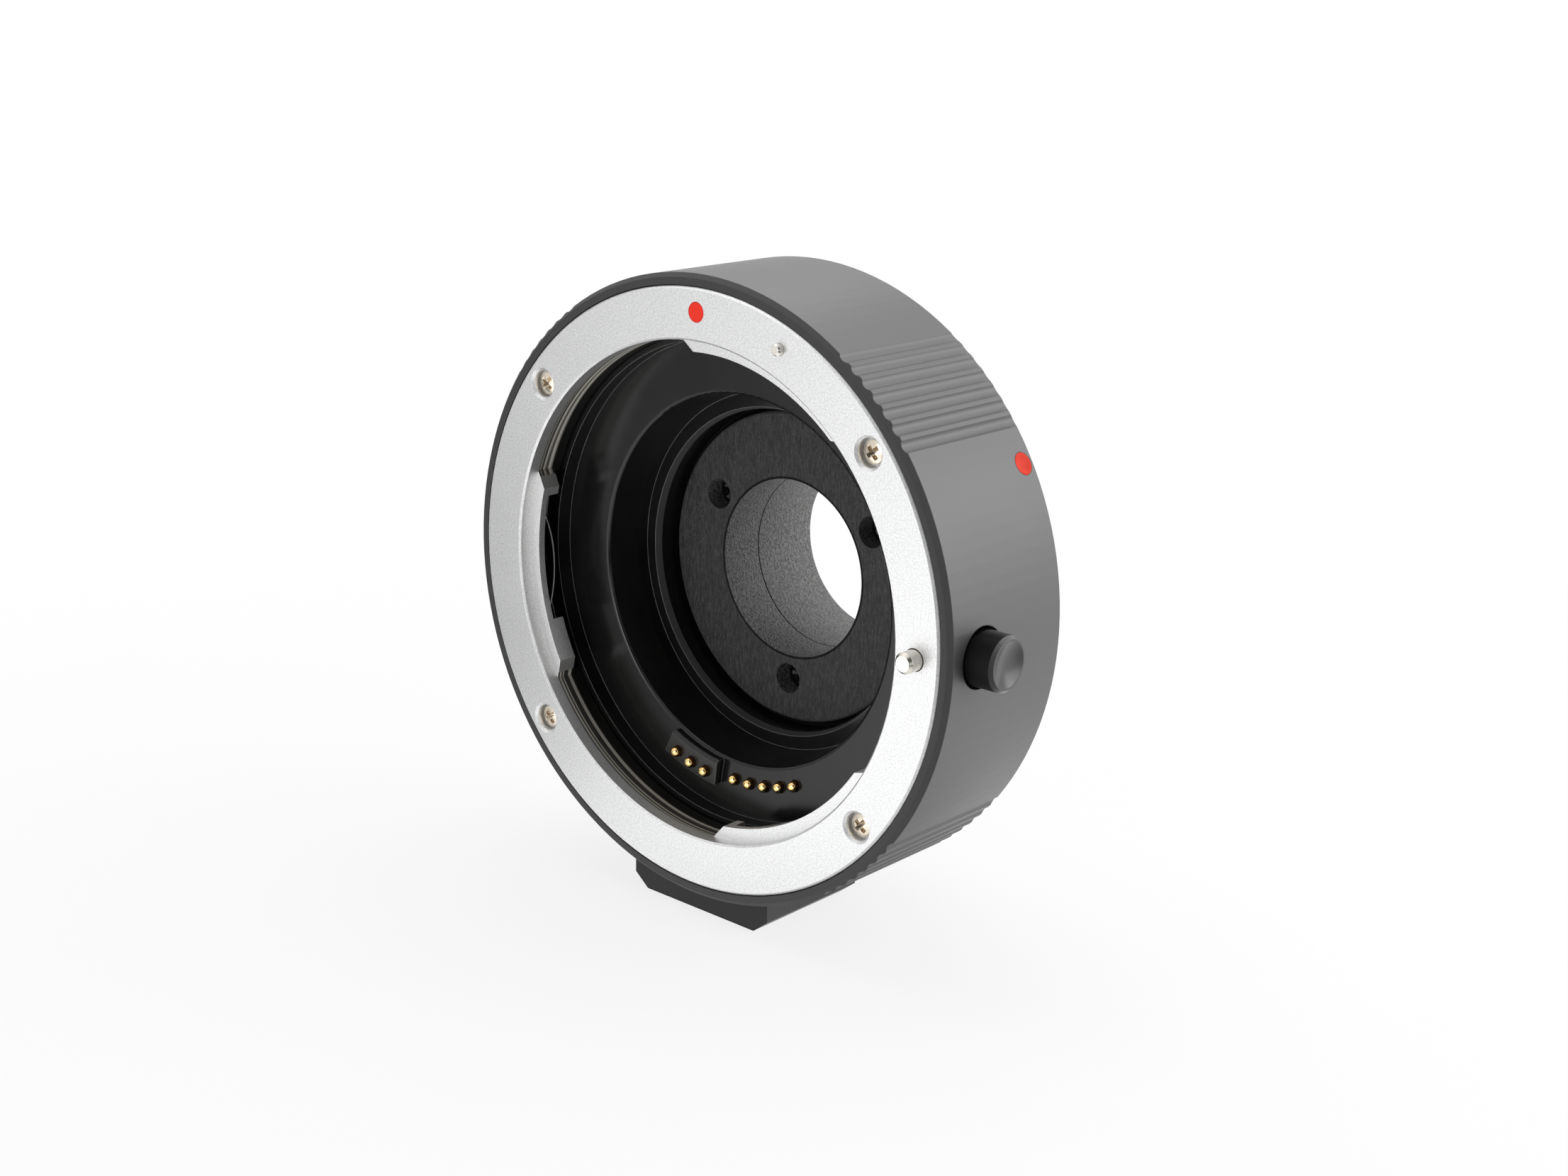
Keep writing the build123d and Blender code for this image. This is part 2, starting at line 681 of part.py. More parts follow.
# Rear housing: plate in the barrel, guide of the lock pin and the tapered neck
def make_rear_housing():
    body = turned((well_r, plate_y0), (plate_r, plate_y0), (plate_r, barrel_y1), (neck_r0, barrel_y1),
                  (neck_r1, neck_y1), (spigot_r0, neck_y1), (spigot_r0, web_y1), (web_r, web_y1),
                  (web_r, seam_y), (well_r, seam_y))
    back_y = neck_y1 - back_t
    body -= turned((well_r + shell_t, plate_y0 - over), (neck_r0 - shell_t, plate_y0 - over),
                   (neck_r0 - shell_t, barrel_y1), (neck_r1 - shell_t, back_y), (well_r + shell_t, back_y))
    body += cyl_y(guide_r, guide_y, plate_y0 + root, x=pin_x)
    hole_r = thread_r + clear_gap
    head_r = cap_head_r + clear_gap
    body += around(liner_boss_angles, cyl_y(head_r + post_wall, plate_y0, back_y + root, x=liner_boss_pcd_r))
    post = cyl_y(thread_r + post_wall, neck_y1 - camera_thread - root, back_y + root, x=camera_screw_pcd_r)
    body += around(camera_screw_angles, post)
    cuts = [cyl_y(tail_r + pin_gap, guide_y - over, tail_y + travel + button_gap, x=pin_x)]
    head_y = barrel_y1 - cap_head_h
    y0 = plate_y0 - over
    cuts += around(rear_screw_angles, cyl_y(hole_r, y0, barrel_y1, x=rear_screw_pcd_r))
    cuts += around(rear_screw_angles, cyl_y(head_r, head_y, barrel_y1 + over, x=rear_screw_pcd_r))
    cuts += around(liner_boss_angles, cyl_y(hole_r, y0, neck_y1, x=liner_boss_pcd_r))
    cuts += around(liner_boss_angles, cyl_y(head_r, liner_seat_y, neck_y1 + over, x=liner_boss_pcd_r))
    tapped = cyl_y(thread_r + fit_gap, neck_y1 - camera_thread, neck_y1 + over, x=camera_screw_pcd_r)
    return body - cuts - around(camera_screw_angles, tapped) - flex_channels()


def make_rear_screws():
    one = backwards(screw(cap_head_r, cap_head_h, rear_boss_len), barrel_y1)
    return around(rear_screw_angles, Pos(rear_screw_pcd_r, 0, 0) * one)


def make_liner_screws():
    one = backwards(screw(cap_head_r, cap_head_h, 2 * liner_seat), liner_seat_y + cap_head_h)
    return around(liner_boss_angles, Pos(liner_boss_pcd_r, 0, 0) * one)


# Camera mount ring: flange, spigot with three lugs, lock notch and four screws
def make_camera_mount_ring():
    relief_r = camera_lug_r + flange_relief_gap
    relief_y = register - flange_relief
    body = turned((spigot_r0, neck_y1), (neck_r1, neck_y1), (neck_r1, register), (relief_r, register),
                  (relief_r, relief_y), (spigot_r1, relief_y), (spigot_r1, spigot_y), (spigot_r0, spigot_y))
    for start, span in camera_lug_angles:
        lug = sector(spigot_r1 - root, camera_lug_r, start, start + span)
        body += slab(lug, spigot_y - camera_lug_t, spigot_y)
    notch = cyl_y(lock_notch_r, register - lock_notch_depth, register + over, x=lock_notch_pcd_r)
    cuts = [at(lock_notch_angle, notch)]
    head_y = register - camera_head_sink - cap_head_h
    head = cyl_y(cap_head_r + clear_gap, head_y, spigot_y, x=camera_screw_pcd_r)
    hole = cyl_y(thread_r + clear_gap, neck_y1 - over, register, x=camera_screw_pcd_r)
    return body - cuts - around(camera_screw_angles, head) - around(camera_screw_angles, hole)


def make_camera_mount_screws():
    top_y = register - camera_head_sink
    reach = top_y - cap_head_h - neck_y1 + camera_thread
    one = backwards(screw(cap_head_r, cap_head_h, reach - clear_gap), top_y)
    return around(camera_screw_angles, Pos(camera_screw_pcd_r, 0, 0) * one)


# Rear contacts and the flexible cable between them and the circuit board
def flex_route(half, gap):
    t = flex_t / 2 + gap
    return [block(-half, half, board_y1, flex_turn_y + t, -flex_r - t, -flex_r + t),
            block(-half, half, flex_turn_y - t, flex_turn_y + t, -flex_r - t, -flex_end_r + t),
            block(-half, half, flex_turn_y - t, rear_block_y0, -flex_end_r - t, -flex_end_r + t)]


def flex_channels():
    return flex_route(flex_half + flex_gap, flex_gap)


def make_flex_cable():
    first, second, third = flex_route(flex_half, 0)
    return first + second + third


def pad_angles():
    mid = sum(rear_block_angles) / 2
    return [mid + (i - (pad_count - 1) / 2) * pad_pitch_angle for i in range(pad_count)]


def pad_face(angle, gap):
    return sector(rear_block_r0 + pad_margin - gap, rear_block_r1 - pad_margin + gap,
                  angle - pad_span_angle / 2 - gap, angle + pad_span_angle / 2 + gap)


def make_rear_contact_block():
    arc = (rear_block_angles[0] + rear_block_ease_angle, rear_block_angles[1] - rear_block_ease_angle)
    body = slab(sector(rear_block_r0, rear_block_r1, *arc), rear_block_y0, spigot_y)
    y0 = spigot_y - pad_t
    return body - [slab(pad_face(angle, fit_gap), y0, spigot_y + over) for angle in pad_angles()]


def make_rear_contact_pads():
    return [slab(pad_face(angle, 0), spigot_y - pad_t, spigot_y) for angle in pad_angles()]


# Every piece by its name; a list is a group of equal pieces
pieces = {
    "barrel": make_barrel(),
    "tripod_foot": make_tripod_foot(),
    "tripod_bush": make_tripod_bush(),
    "foot_screws": make_foot_screws(),
    "lens_mount_ring": make_lens_mount_ring(),
    "lens_mount_screws": make_lens_mount_screws(),
    "leaf_springs": make_leaf_springs(),
    "ring_stop_pin": make_ring_stop_pin(),
    "lens_index_dot": make_lens_index_dot(),
    "camera_index_dot": make_camera_index_dot(),
    "release_button": make_release_button(),
    "lock_pin": make_lock_pin(),
    "lock_spring": make_lock_spring(),
    "inner_liner": make_inner_liner(),
    "pin_sleeves": make_pin_sleeves(),
    "circuit_board": make_circuit_board(),
    "controller_chip": make_controller_chip(),
    "flex_cable": make_flex_cable(),
    "front_baffle": make_front_baffle(),
    "baffle_screws": make_baffle_screws(),
    "rear_baffle": make_rear_baffle(),
    "rear_housing": make_rear_housing(),
    "rear_screws": make_rear_screws(),
    "liner_screws": make_liner_screws(),
    "camera_mount_ring": make_camera_mount_ring(),
    "camera_mount_screws": make_camera_mount_screws(),
    "rear_contact_block": make_rear_contact_block(),
    "rear_contact_pads": make_rear_contact_pads(),
}
for number, (pin_angle, pin_tip) in enumerate(contact_places(), start=1):
    pieces[f"contact_pin_{number}"] = make_contact_pin(pin_angle, pin_tip)
    pieces[f"pin_spring_{number}"] = make_pin_spring(pin_angle)

os.makedirs("parts", exist_ok=True)
for name, shape in pieces.items():
    if isinstance(shape, list):
        shape = Compound(children=shape)
    export_step(shape, f"parts/{name}.step")
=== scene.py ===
import bpy
from math import cos, pi, radians, sin
from mathutils import Matrix, Vector


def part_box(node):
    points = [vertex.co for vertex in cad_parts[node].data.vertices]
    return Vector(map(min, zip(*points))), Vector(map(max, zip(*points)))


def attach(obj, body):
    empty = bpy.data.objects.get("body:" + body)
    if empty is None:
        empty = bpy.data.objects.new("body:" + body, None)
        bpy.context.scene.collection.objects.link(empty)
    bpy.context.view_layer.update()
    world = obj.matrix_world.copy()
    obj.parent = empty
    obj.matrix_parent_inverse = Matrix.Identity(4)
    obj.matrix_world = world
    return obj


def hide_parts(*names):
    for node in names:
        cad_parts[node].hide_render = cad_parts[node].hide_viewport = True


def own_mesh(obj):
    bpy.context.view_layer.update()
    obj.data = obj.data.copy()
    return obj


# Lens mount adapter, in metres. Y is the optical axis, the lens leaves along -Y and +Z is up.
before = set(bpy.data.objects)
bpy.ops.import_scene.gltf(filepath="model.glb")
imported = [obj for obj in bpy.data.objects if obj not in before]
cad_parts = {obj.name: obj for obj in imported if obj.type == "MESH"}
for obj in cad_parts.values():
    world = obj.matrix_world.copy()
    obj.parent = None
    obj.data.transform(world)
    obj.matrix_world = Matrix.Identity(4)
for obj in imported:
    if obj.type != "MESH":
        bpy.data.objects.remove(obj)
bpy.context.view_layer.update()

MM = 0.001
BODY = "adapter"
CONTACTS = range(1, 9)
WHITE = (1.0, 1.0, 1.0, 1.0)
BEVEL_SAMPLES = 5

# Where a finish changes on a piece: radii and places along the optical axis
THROAT_WALL_R = (26.6 * MM, 27.6 * MM)
THROAT_END_Y = 5.5 * MM
LIP_END_Y = 1.62 * MM
TURNED_Y = (2.0 * MM, 3.5 * MM)
TURNED_SOFT = 0.3 * MM
NOTCH_Y = 2.35 * MM
LUG_ANGLES = (71.5, 187.0, 301.7)
LUG_HALF_ANGLE = 25.0
GROOVE_ROOT_R = 33.3 * MM
BORE_MOUTH_R = 10.25 * MM
BLOCK_END_Y = 6.9 * MM
BLOCK_OUTER_R = 25.8 * MM
LINER_BEVEL_R = (17.98 * MM, 18.28 * MM)
LINER_BEVEL_SOFT = 0.02 * MM
TRACK_PITCH_X = 0.9 * MM
TRACK_PITCH_Z = 1.7 * MM


def grey(level):
    return (level, level, level)


# Colours of small marks in the finishes, among them painted highlights and painted shade
GLINT = (0.92, 0.92, 0.91)
PIT_SHADE = grey(0.24)
EDGE_HIGHLIGHT = (0.95, 0.95, 0.94)
TURNED_SHADE = (0.05, 0.048, 0.045)
TURNED_REFLECTION_LINES = ((0.07, 0.065, 0.06), (0.95, 0.90, 0.80))
NOTCH_SHADE = grey(0.012)
DUST = grey(0.16)
RUBBED_EDGE_HIGHLIGHT = grey(0.05)
FRONT_SHADE = grey(0.006)
FLECK = (0.11, 0.11, 0.105)
MOUTH_BLACK = grey(0.002)
LINT = (0.12, 0.12, 0.11)
BLOCK_SHEEN = (0.034, 0.035, 0.033)
BEVEL_SHEEN = (0.070, 0.072, 0.070)
MOULDED_EDGE_HIGHLIGHT = (0.30, 0.305, 0.30)
PLATED_EDGE_HIGHLIGHT = (0.93, 0.88, 0.80)
RIM_SHADE_RED = (0.32, 0.010, 0.005)


# A socket whose numbers are worked on by Math nodes
class Value:
    def __init__(self, nodes, socket):
        self.nodes = nodes
        self.socket = socket

    def math(self, operation, *values):
        return self.nodes.node("ShaderNodeMath", {"operation": operation}, dict(enumerate(values)))[0]

    def __add__(self, other):
        return self.math("ADD", self, other)

    def __radd__(self, other):
        return self.math("ADD", other, self)

    def __sub__(self, other):
        return self.math("SUBTRACT", self, other)

    def __rsub__(self, other):
        return self.math("SUBTRACT", other, self)

    def __mul__(self, other):
        return self.math("MULTIPLY", self, other)

    def __rmul__(self, other):
        return self.math("MULTIPLY", other, self)

    def __truediv__(self, other):
        return self.math("DIVIDE", self, other)

    def __pow__(self, other):
        return self.math("POWER", self, other)

    def __abs__(self):
        return self.math("ABSOLUTE", self)

    def over(self, limit):
        return self.math("GREATER_THAN", self, limit)

    def under(self, limit):
        return self.math("LESS_THAN", self, limit)

    def larger(self, other):
        return self.math("MAXIMUM", self, other)

    def sine(self):
        return self.math("SINE", self)

    # 0 below low, 1 above high and an eased step between
    def step(self, low, high):
        settings = {"interpolation_type": "SMOOTHSTEP"}
        return self.nodes.node("ShaderNodeMapRange", settings, {"Value": self, 1: low, 2: high})[0]

    # 1 between low and high, with soft sides
    def band(self, low, high, soft):
        return self.step(low - soft, low) * (1 - self.step(high, high + soft))


# What a node gives, by the name or the number of its socket
class Outputs:
    def __init__(self, nodes, made):
        self.nodes = nodes
        self.made = made

    def __getitem__(self, name):
        return Value(self.nodes, self.made.outputs[name])


# The nodes of a material or of the world, and the one way they are added
class Nodes:
    def __init__(self, tree):
        self.tree = tree

    def node(self, kind, settings, inputs):
        made = self.tree.nodes.new(kind)
        for name, value in settings.items():
            setattr(made, name, value)
        self.feed(made, inputs)
        return Outputs(self, made)

    def feed(self, made, inputs):
        for name, value in inputs.items():
            if isinstance(value, Value):
                self.tree.links.new(value.socket, made.inputs[name])
            else:
                made.inputs[name].default_value = value

    # 1 on the rays that show a thing, also those from metal and through glass
    def seen(self):
        path = self.node("ShaderNodeLightPath", {}, {})
        return path["Is Camera Ray"].larger(path["Is Glossy Ray"]).larger(path["Is Transmission Ray"])


# A material, with its place on the piece and what its finish is made of
class Finish(Nodes):
    def __init__(self, name):
        self.material = bpy.data.materials.new(name)
        self.material.use_nodes = True
        super().__init__(self.material.node_tree)
        self.shader = self.tree.nodes["Principled BSDF"]
        self.place = self.node("ShaderNodeTexCoord", {}, {})["Object"]

    def set(self, **inputs):
        self.feed(self.shader, {name.replace("_", " "): value for name, value in inputs.items()})
        return self.material

    # Two shaders in one surface, the second over the first by an amount
    def layer(self, amount, below, above):
        both = self.node("ShaderNodeMixShader", {}, {0: amount, 1: below, 2: above})
        self.feed(self.tree.nodes["Material Output"], {"Surface": both[0]})
        return self.material

    def lit(self):
        return Value(self, self.shader.outputs[0])

    def glow(self, strength):
        return self.node("ShaderNodeEmission", {}, {"Color": WHITE, "Strength": strength})[0]

    def mix(self, amount, low, high):
        low, high = (shade + (1.0,) if isinstance(shade, tuple) else shade for shade in (low, high))
        return self.node("ShaderNodeMix", {"data_type": "RGBA"}, {0: amount, 6: low, 7: high})[2]

    def stretched(self, x, y, z):
        inputs = {0: self.place, 1: (x, y, z)}
        return self.node("ShaderNodeVectorMath", {"operation": "MULTIPLY"}, inputs)[0]

    def noise(self, size_mm, detail=2.0, rough=0.5, place=None):
        inputs = {"Vector": place or self.place, "Scale": 1 / (size_mm * MM)}
        inputs.update({"Detail": detail, "Roughness": rough})
        return self.node("ShaderNodeTexNoise", {}, inputs)["Fac"]

    def cells(self, size_mm):
        inputs = {"Vector": self.place, "Scale": 1 / (size_mm * MM)}
        return self.node("ShaderNodeTexVoronoi", {}, inputs)["Distance"]

    def axes(self, vector):
        parts = self.node("ShaderNodeSeparateXYZ", {}, {0: vector})
        return parts["X"], parts["Y"], parts["Z"]

    def true_normal(self):
        return self.node("ShaderNodeNewGeometry", {}, {})["Normal"]

    # How far a surface faces along each axis, from -1 to 1
    def facing(self):
        return self.axes(self.true_normal())

    # How far a surface faces along the optical axis, either way
    def end_on(self):
        return abs(self.facing()[1])

    # Place along the optical axis and distance from it
    def depth(self):
        return self.axes(self.place)[1]

    def radius(self):
        x, _, z = self.axes(self.place)
        return (x * x + z * z) ** 0.5

    # Cosine of the turn between a place and the nearest of some angles around the optical axis
    def nearness(self, angles):
        x, _, z = self.axes(self.place)
        turns = [x * cos(radians(angle)) + z * sin(radians(angle)) for angle in angles]
        nearest = turns[0]
        for turn in turns[1:]:
            nearest = nearest.larger(turn)
        return nearest / self.radius()

    def eased(self, radius_mm):
        return self.node("ShaderNodeBevel", {"samples": BEVEL_SAMPLES}, {"Radius": radius_mm * MM})[0]

    # 1 along the edges, where the eased normal leaves the true one
    def edges(self, radius_mm, low=0.03, high=0.25):
        pair = {0: self.eased(radius_mm), 1: self.true_normal()}
        along = self.node("ShaderNodeVectorMath", {"operation": "DOT_PRODUCT"}, pair)["Value"]
        return (1 - along).step(low, high)

    def relief(self, height, depth_mm, strength, normal=None):
        inputs = {"Height": height, "Distance": depth_mm * MM, "Strength": strength}
        if normal is not None:
            inputs["Normal"] = normal
        return self.node("ShaderNodeBump", {}, inputs)[0]


# Bead-blasted bayonet ring with a painted highlight along its edges, and painted glints and painted pit shade.
# A ring with lugs has a throat wall, which is turned behind its lip, where it gets painted shade and turning
# lines in painted reflection, and painted shade behind the lugs.
def blasted_ring(name, face_shades, wall_shades, lug_angles=()):
    f = Finish(name)
    face = f.end_on().step(0.55, 0.75)
    grain = f.noise(0.20, detail=2.0, rough=0.7)
    glints = f.noise(0.18, detail=1.0).step(0.60, 0.68)
    pits = f.noise(0.20, detail=1.5, place=f.stretched(1.0, 1.0, 1.07)).under(0.37)
    cloud = f.noise(7.0)
    lines = f.noise(0.52, detail=3.0, rough=0.65, place=f.stretched(0.004, 1.0, 0.004))
    beads = grain.step(0.36, 0.64)
    blasted = f.mix(beads, *face_shades)
    # Painted glints: bright specks that stand in for the sparkle of the blast
    blasted = f.mix(glints * 0.35, blasted, GLINT)
    # Painted shade in dark pits of the blast
    blasted = f.mix(pits * 0.18, blasted, PIT_SHADE)
    side = f.mix(beads, *wall_shades)
    deep, behind, metal = 0.0, 0.0, 1.0
    if lug_angles:
        y, radius = f.depth(), f.radius()
        wall = (1 - face) * radius.over(THROAT_WALL_R[0]) * radius.under(THROAT_WALL_R[1]) * y.under(THROAT_END_Y)
        deep = wall * y.over(LIP_END_Y)
        behind = wall * y.over(NOTCH_Y) * f.nearness(lug_angles).over(cos(radians(LUG_HALF_ANGLE)))
        streaks = y.band(*TURNED_Y, TURNED_SOFT)
        # Deep in the throat: painted shade, and in a band turning lines in painted reflection, dark and bright
        turned = f.mix(streaks, TURNED_SHADE, f.mix(lines.step(0.42, 0.60), *TURNED_REFLECTION_LINES))
        side = f.mix(deep, side, turned)
        metal = 1 - 0.6 * deep * streaks
    edge = f.edges(0.07)
    colour = f.mix(face, side, blasted)
    # Painted highlight along the edges
    colour = f.mix(edge * 0.75, colour, EDGE_HIGHLIGHT)
    # Painted shade on the throat wall behind the lugs
    colour = f.mix(behind, colour, NOTCH_SHADE)
    rough = face * (0.42 + 0.14 * grain) + (1 - face) * (0.46 - 0.10 * deep) + 0.05 * cloud
    height = face * (grain + 0.5 * glints) + (1 - face) * (0.2 * grain * (1 - deep) + 0.25 * lines)
    return f.set(Base_Color=colour, Metallic=metal, Roughness=rough - 0.12 * edge,
                 Normal=f.relief(height, 0.007, 0.7, f.eased(0.05)))


# Satin black, duller on the faces turned to the lens, which also get painted shade. Grip grooves shade deeper
# than they are cut, and painted shade makes a side a deeper black than the end that faces along X.
def satin_black(name, base=0.028, rough=0.42, ease=0.16, gloss=0.85, grooves=0.0, side_shade=0.0):
    f = Finish(name)
    nx, ny, _ = f.facing()
    front = (0 - ny).step(0.3, 0.6)
    grain = f.noise(0.11, detail=3.0, rough=0.6)
    cloud = f.noise(9.0, detail=3.0)
    dust = f.cells(1.3).under(0.045) * f.noise(3.1).step(0.55, 0.7)
    low = (base * 0.84, base * 0.84, base * 0.86)
    high = (base * 1.18, base * 1.18, base * 1.20)
    colour = f.mix(grain * 0.6 + cloud * 0.4, low, high)
    colour = f.mix(dust * 0.3, colour, DUST)
    # Lighter edges: rubbed wear, and a painted highlight
    colour = f.mix(f.edges(0.05) * 0.5 * cloud, colour, RUBBED_EDGE_HIGHLIGHT)
    # Painted shade on the faces turned to the lens
    colour = f.mix(front * 0.7, colour, FRONT_SHADE)
    wear_and_shade = rough - 0.06 + 0.10 * grain + 0.06 * cloud
    # Painted shade on the sides: a near-black metal, away from the end that faces along X
    if side_shade > 0.0:
        f.set(Metallic=side_shade * (1 - abs(nx).step(0.45, 0.75)))
    normal = f.eased(ease)
    if grooves > 0.0:
        side = 1 - abs(ny).step(0.05, 0.2)
        normal = f.relief(side * f.radius().larger(GROOVE_ROOT_R) / MM, 1.0, grooves, normal)
    return f.set(Base_Color=colour, Roughness=wear_and_shade + 0.34 * front, Specular_IOR_Level=gloss,
                 Normal=f.relief(grain, 0.006, 0.5, normal))


# Black against glare: streaked upright on the face, pebbled in the bore and painted paler there,
# a painted light from behind, and dark at its mouth
def glare_black(name):
    f = Finish(name)
    face = f.end_on().step(0.6, 0.8)
    streak = f.noise(0.22, detail=3.0, rough=0.75, place=f.stretched(1.0, 1.0, 0.20))
    pebble = f.noise(0.28, detail=2.0, rough=0.6)
    pits = f.cells(0.36).step(0.0, 0.42)
    fleck = f.noise(0.11, detail=1.0, place=f.stretched(1.0, 1.0, 0.45)).step(0.60, 0.72)
    mouth = face * f.radius().under(BORE_MOUTH_R) * 0.8
    face_colour = f.mix(streak.step(0.35, 0.70), grey(0.003), (0.032, 0.032, 0.031))
    face_colour = f.mix(fleck * 0.4, face_colour, FLECK)
    face_colour = f.mix(mouth, face_colour, MOUTH_BLACK)
    # Bore colour, paler than the face: pebble tone with painted light from behind
    bore_lit_colour = f.mix(pebble.step(0.35, 0.65), grey(0.060), (0.160, 0.160, 0.157))
    rough = 0.62 - (1 - face) * 0.16 - 0.08 * streak
    height = face * streak * 0.4 + (1 - face) * (1.3 * pebble + 0.4 * pits)
    return f.set(Base_Color=f.mix(face, bore_lit_colour, face_colour), Metallic=mouth, Roughness=rough,
                 Specular_IOR_Level=0.4, Normal=f.relief(height, 0.18, 0.9, f.eased(0.06)))


# Moulded black plastic, with painted sheen on the contact block and on the funnel's bevel and a painted
# highlight along its edges
def moulded_black(name):
    f = Finish(name)
    radius = f.radius()
    grain = f.noise(0.20, detail=3.0, rough=0.6)
    cloud = f.noise(5.0, detail=3.0)
    lint = f.cells(1.7).under(0.035) * f.noise(2.3).step(0.58, 0.7)
    block = f.depth().under(BLOCK_END_Y) * radius.under(BLOCK_OUTER_R)
    bevel = radius.band(*LINER_BEVEL_R, LINER_BEVEL_SOFT)
    edge = f.edges(0.12, 0.02, 0.2)
    colour = f.mix(cloud, (0.0040, 0.0042, 0.0040), (0.0095, 0.0097, 0.0094))
    colour = f.mix(lint * 0.3, colour, LINT)
    # Painted sheen on the contact block and on the funnel's bevel
    colour = f.mix(block * 0.7, colour, BLOCK_SHEEN)
    colour = f.mix(bevel * 0.8, colour, BEVEL_SHEEN)
    # Painted highlight along the edges
    colour = f.mix(edge * (0.5 + 0.5 * cloud), colour, MOULDED_EDGE_HIGHLIGHT)
    return f.set(Base_Color=colour, Roughness=0.14 + 0.07 * cloud + 0.05 * grain, Specular_IOR_Level=0.32,
                 Normal=f.relief(grain, 0.006, 0.5, f.eased(0.12)))


# Plain metal of the small pieces
def small_metal(name, low, high, rough):
    f = Finish(name)
    grain = f.noise(0.12, detail=3.0, rough=0.6)
    cloud = f.noise(1.4)
    colour = f.mix(grain * 0.5 + cloud * 0.5, low, high)
    return f.set(Base_Color=colour, Metallic=1.0, Roughness=rough - 0.05 + 0.10 * grain + 0.06 * cloud,
                 Normal=f.relief(grain, 0.004, 0.35, f.eased(0.05)))


# Gold plate: bright on a pin's dome and on a pad, browner down the sides with painted shade
def gold_plate(name):
    f = Finish(name)
    grain = f.noise(0.10)
    dome = f.end_on().step(0.25, 0.8)
    # Painted shade: a browner copy of the gold down the sides
    side = f.mix(grain, (0.22, 0.10, 0.02), (0.36, 0.19, 0.05))
    top = f.mix(grain, (0.80, 0.53, 0.19), (0.97, 0.73, 0.34))
    return f.set(Base_Color=f.mix(dome, side, top), Metallic=1.0, Roughness=0.12 + 0.08 * grain,
                 Normal=f.relief(grain, 0.003, 0.3))


# Nickel-plated cross-head screw, darker in its cross and down its sides with painted shade,
# and with a painted highlight along its edges
def cross_head(name):
    f = Finish(name)
    grain = f.noise(0.12, detail=3.0, rough=0.6)
    cloud = f.noise(0.9)
    top = f.end_on().step(0.70, 0.88)
    plate = f.mix(grain * 0.5 + cloud * 0.5, (0.52, 0.45, 0.36), (0.82, 0.75, 0.64))
    # Painted shade: a darker copy of the plate in the cross and down the sides
    wear_and_shade = f.mix(grain, (0.46, 0.37, 0.27), (0.70, 0.60, 0.46))
    # Painted highlight along the edges
    colour = f.mix(f.edges(0.06) * 0.7, f.mix(top, wear_and_shade, plate), PLATED_EDGE_HIGHLIGHT)
    return f.set(Base_Color=colour, Metallic=1.0, Roughness=0.20 + 0.12 * grain,
                 Normal=f.relief(grain, 0.004, 0.4, f.eased(0.06)))


# Spring strip: blued flat sides and bright cut edges
def spring_strip(name):
    f = Finish(name)
    grain = f.noise(0.10, detail=3.0, rough=0.6)
    flat = f.end_on().step(0.45, 0.65)
    cut = f.mix(grain, (0.80, 0.79, 0.77), (1.0, 0.99, 0.96))
    blued = f.mix(grain, (0.020, 0.020, 0.022), (0.050, 0.050, 0.054))
    return f.set(Base_Color=f.mix(flat, cut, blued), Metallic=1.0, Roughness=0.46 - 0.20 * flat + 0.10 * grain,
                 Normal=f.relief(grain, 0.004, 0.35))


# Index paint, darker along its rim with painted shade
def index_red(name, low, high):
    f = Finish(name)
    mottle = f.noise(0.5, detail=3.0)
    fine = f.noise(0.12)
    # Painted shade darkens the paint along its rim
    colour = f.mix(f.edges(0.16, 0.02, 0.3) * 0.55, f.mix(mottle, low, high), RIM_SHADE_RED)
    return f.set(Base_Color=colour, Roughness=0.48 + 0.12 * fine, Specular_IOR_Level=0.15,
                 Normal=f.relief(fine, 0.006, 0.4, f.eased(0.1)))


# Green laminate with paler tracks
def board_green(name):
    f = Finish(name)
    x, _, z = f.axes(f.place)
    across, upright = ((along * (2 * pi / pitch)).sine() for along, pitch in ((x, TRACK_PITCH_X), (z, TRACK_PITCH_Z)))
    track = (across * upright).step(0.35, 0.45)
    weave = f.noise(0.15)
    colour = f.mix(track * 0.5, (0.012, 0.085, 0.032), (0.045, 0.20, 0.085))
    return f.set(Base_Color=colour, Roughness=0.30 + 0.15 * weave, Normal=f.relief(track, 0.02, 0.6))


# Dull chip and ribbon
def dull_film(name, low, high, rough):
    f = Finish(name)
    grain = f.noise(0.25, detail=3.0)
    return f.set(Base_Color=f.mix(grain, low, high), Roughness=rough + 0.12 * grain,
                 Normal=f.relief(grain, 0.006, 0.4))


lens_ring = blasted_ring("blasted_lens_ring", ((0.60, 0.605, 0.61), grey(0.73)),
                         ((0.69, 0.69, 0.685), (0.83, 0.83, 0.82)), LUG_ANGLES)
camera_shades = ((0.32, 0.32, 0.315), (0.46, 0.46, 0.45))
camera_ring = blasted_ring("blasted_camera_ring", camera_shades, camera_shades)
barrel_black = satin_black("satin_black_barrel", grooves=0.8)
button_black = satin_black("satin_black_button", base=0.006, rough=0.27, ease=0.10, gloss=0.65, side_shade=0.85)
foot_black = satin_black("satin_black_foot", base=0.012, rough=0.46, gloss=0.62)
housing_black = satin_black("satin_black_housing", base=0.024, rough=0.44, gloss=0.6)
baffle_black = glare_black("glare_black")
liner_black = moulded_black("moulded_black")
screw_nickel = cross_head("nickel_screw")
screw_black = small_metal("blackened_screw", (0.020, 0.020, 0.022), (0.060, 0.060, 0.064), 0.32)
pin_steel = small_metal("polished_pin", (0.60, 0.57, 0.52), (0.82, 0.79, 0.73), 0.22)
strip_steel = spring_strip("spring_strip")
spring_steel = small_metal("spring_wire", (0.42, 0.41, 0.39), (0.66, 0.65, 0.62), 0.26)
